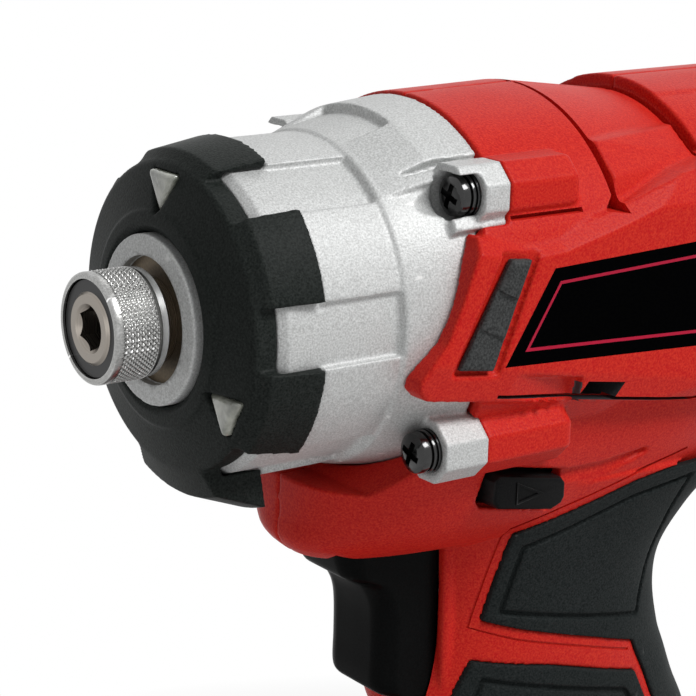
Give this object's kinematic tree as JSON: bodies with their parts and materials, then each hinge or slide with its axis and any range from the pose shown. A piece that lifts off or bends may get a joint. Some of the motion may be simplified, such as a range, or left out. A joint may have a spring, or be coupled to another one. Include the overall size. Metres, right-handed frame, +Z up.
{
  "type": "impact driver",
  "caption": "Pistol-grip cordless impact driver with a knurled bit collar, lamp ring, hammer and anvil drive, planetary gear, trigger, direction slide and slide-on battery.",
  "frame": {"origin": "mouth of the hexagonal bit socket, on the drive axis", "axes": "+X from the nose to the rear, -Y the pictured left side, +Z up; millimetres in the source"},
  "size_m": [0.155, 0.074, 0.2259],
  "materials": {
    "red_shell": "finely textured moulded plastic, deep red",
    "grip_black": "soft overmoulded rubber, charcoal",
    "label_black": "smooth black label with a thin red outline, bare of text",
    "pad_black": "black moulded pad",
    "cast_silver": "die-cast aluminium with a fine silver coat",
    "bumper_black": "black elastomer with a fine grain",
    "lens_clear": "clear lamp window with a warm chip behind it",
    "board_green": "circuit board",
    "collar_steel": "bright knurled steel",
    "spring_steel": "spring wire",
    "ball_steel": "polished bearing steel",
    "anvil_steel": "hardened steel, bronze-grey",
    "bush_bronze": "sintered bronze",
    "hammer_steel": "forged steel",
    "gear_steel": "cut gear steel",
    "rotor_copper": "laminations with copper windings",
    "magnet_dark": "ferrite magnet",
    "can_steel": "drawn steel can",
    "inner_plastic": "moulded plastic, dark",
    "fan_plastic": "moulded plastic, pale",
    "carbon": "pressed carbon",
    "trigger_black": "black moulded plastic, half gloss",
    "selector_black": "black moulded plastic",
    "screw_black": "black coated steel",
    "lead_red": "insulated lead",
    "battery_black": "textured moulded plastic, black",
    "cell_wrap": "wrapped cell",
    "button_red": "moulded plastic, red"
  },
  "bodies": {
    "frame": {"left_housing": "red_shell", "right_housing": "red_shell", "left_grip": "grip_black", "right_grip": "grip_black", "left_label_plate": "label_black", "right_label_plate": "label_black", "left_side_pad": "pad_black", "right_side_pad": "pad_black", "hammer_case": "cast_silver", "nose_bumper": "bumper_black", "led_lenses": "lens_clear", "led_board": "board_green", "anvil_bush": "bush_bronze", "ring_gear": "gear_steel", "gearbox_plate": "inner_plastic", "motor_can": "can_steel", "motor_magnets": "magnet_dark", "motor_end_cap": "inner_plastic", "carbon_brushes": "carbon", "trigger_switch": "inner_plastic", "trigger_spring": "spring_steel", "case_screws": "screw_black", "housing_screws": "screw_black", "terminal_block": "inner_plastic", "battery_leads": "lead_red", "motor_leads": "lead_red"},
    "spindle": {"cam_shaft": "gear_steel", "planet_pins": "gear_steel", "cam_balls": "ball_steel", "hammer_spring": "spring_steel"},
    "hammer_body": {"hammer": "hammer_steel"},
    "anvil_body": {"anvil": "anvil_steel", "collar_retainer": "spring_steel", "bit_balls": "ball_steel", "collar_spring": "spring_steel"},
    "collar": {"bit_collar": "collar_steel"},
    "planet_a": {"planet_gear_a": "gear_steel"},
    "planet_b": {"planet_gear_b": "gear_steel"},
    "rotor": {"motor_rotor": "rotor_copper", "motor_pinion": "gear_steel", "motor_fan": "fan_plastic"},
    "trigger_body": {"trigger": "trigger_black"},
    "selector": {"direction_selector": "selector_black"},
    "battery": {"battery_upper_case": "battery_black", "battery_lower_case": "battery_black", "battery_cells": "cell_wrap", "button_spring": "spring_steel"},
    "release_button": {"battery_button": "button_red"}
  },
  "joints": [
    {"name": "spindle_spin", "type": "hinge", "parent": "frame", "child": "spindle", "pos_m": [0.066, 0, 0], "axis": [1, 0, 0], "continuous": true},
    {"name": "anvil_spin", "type": "hinge", "parent": "frame", "child": "anvil_body", "pos_m": [0.02, 0, 0], "axis": [1, 0, 0], "continuous": true},
    {"name": "planet_a_spin", "type": "hinge", "parent": "spindle", "child": "planet_a", "pos_m": [0.073, 0, 0.0116], "axis": [1, 0, 0], "continuous": true},
    {"name": "planet_b_spin", "type": "hinge", "parent": "spindle", "child": "planet_b", "pos_m": [0.073, 0, -0.0116], "axis": [1, 0, 0], "continuous": true},
    {"name": "rotor_spin", "type": "hinge", "parent": "frame", "child": "rotor", "pos_m": [0.1, 0, 0], "axis": [1, 0, 0], "continuous": true},
    {"name": "hammer_slide", "type": "slide", "parent": "spindle", "child": "hammer_body", "axis": [1, 0, 0], "range_m": [0, 0.006], "stiffness_N_per_m": 4000, "springref_m": -0.004, "deforming": ["hammer_spring"]},
    {"name": "collar_slide", "type": "slide", "parent": "anvil_body", "child": "collar", "axis": [-1, 0, 0], "range_m": [0, 0.0028], "stiffness_N_per_m": 600, "springref_m": -0.003, "deforming": ["collar_spring"]},
    {"name": "trigger_pull", "type": "slide", "parent": "frame", "child": "trigger_body", "axis": [1, 0, 0], "range_m": [0, 0.0065], "stiffness_N_per_m": 800, "springref_m": -0.004, "deforming": ["trigger_spring"]},
    {"name": "selector_shift", "type": "slide", "parent": "frame", "child": "selector", "axis": [0, 1, 0], "range_m": [-0.003, 0.003]},
    {"name": "battery_slide", "type": "slide", "parent": "frame", "child": "battery", "axis": [-1, 0, 0], "range_m": [0, 0.09]},
    {"name": "button_press", "type": "slide", "parent": "battery", "child": "release_button", "axis": [0, 0, -1], "range_m": [0, 0.0035], "stiffness_N_per_m": 1500, "springref_m": -0.003, "deforming": ["button_spring"]}
  ],
  "couplings": [
    {"joint": "anvil_spin", "follows": "spindle_spin", "ratio": 1},
    {"joint": "planet_a_spin", "follows": "spindle_spin", "ratio": -2.5263},
    {"joint": "planet_b_spin", "follows": "spindle_spin", "ratio": -2.5263},
    {"joint": "rotor_spin", "follows": "spindle_spin", "ratio": 5.8}
  ]
}
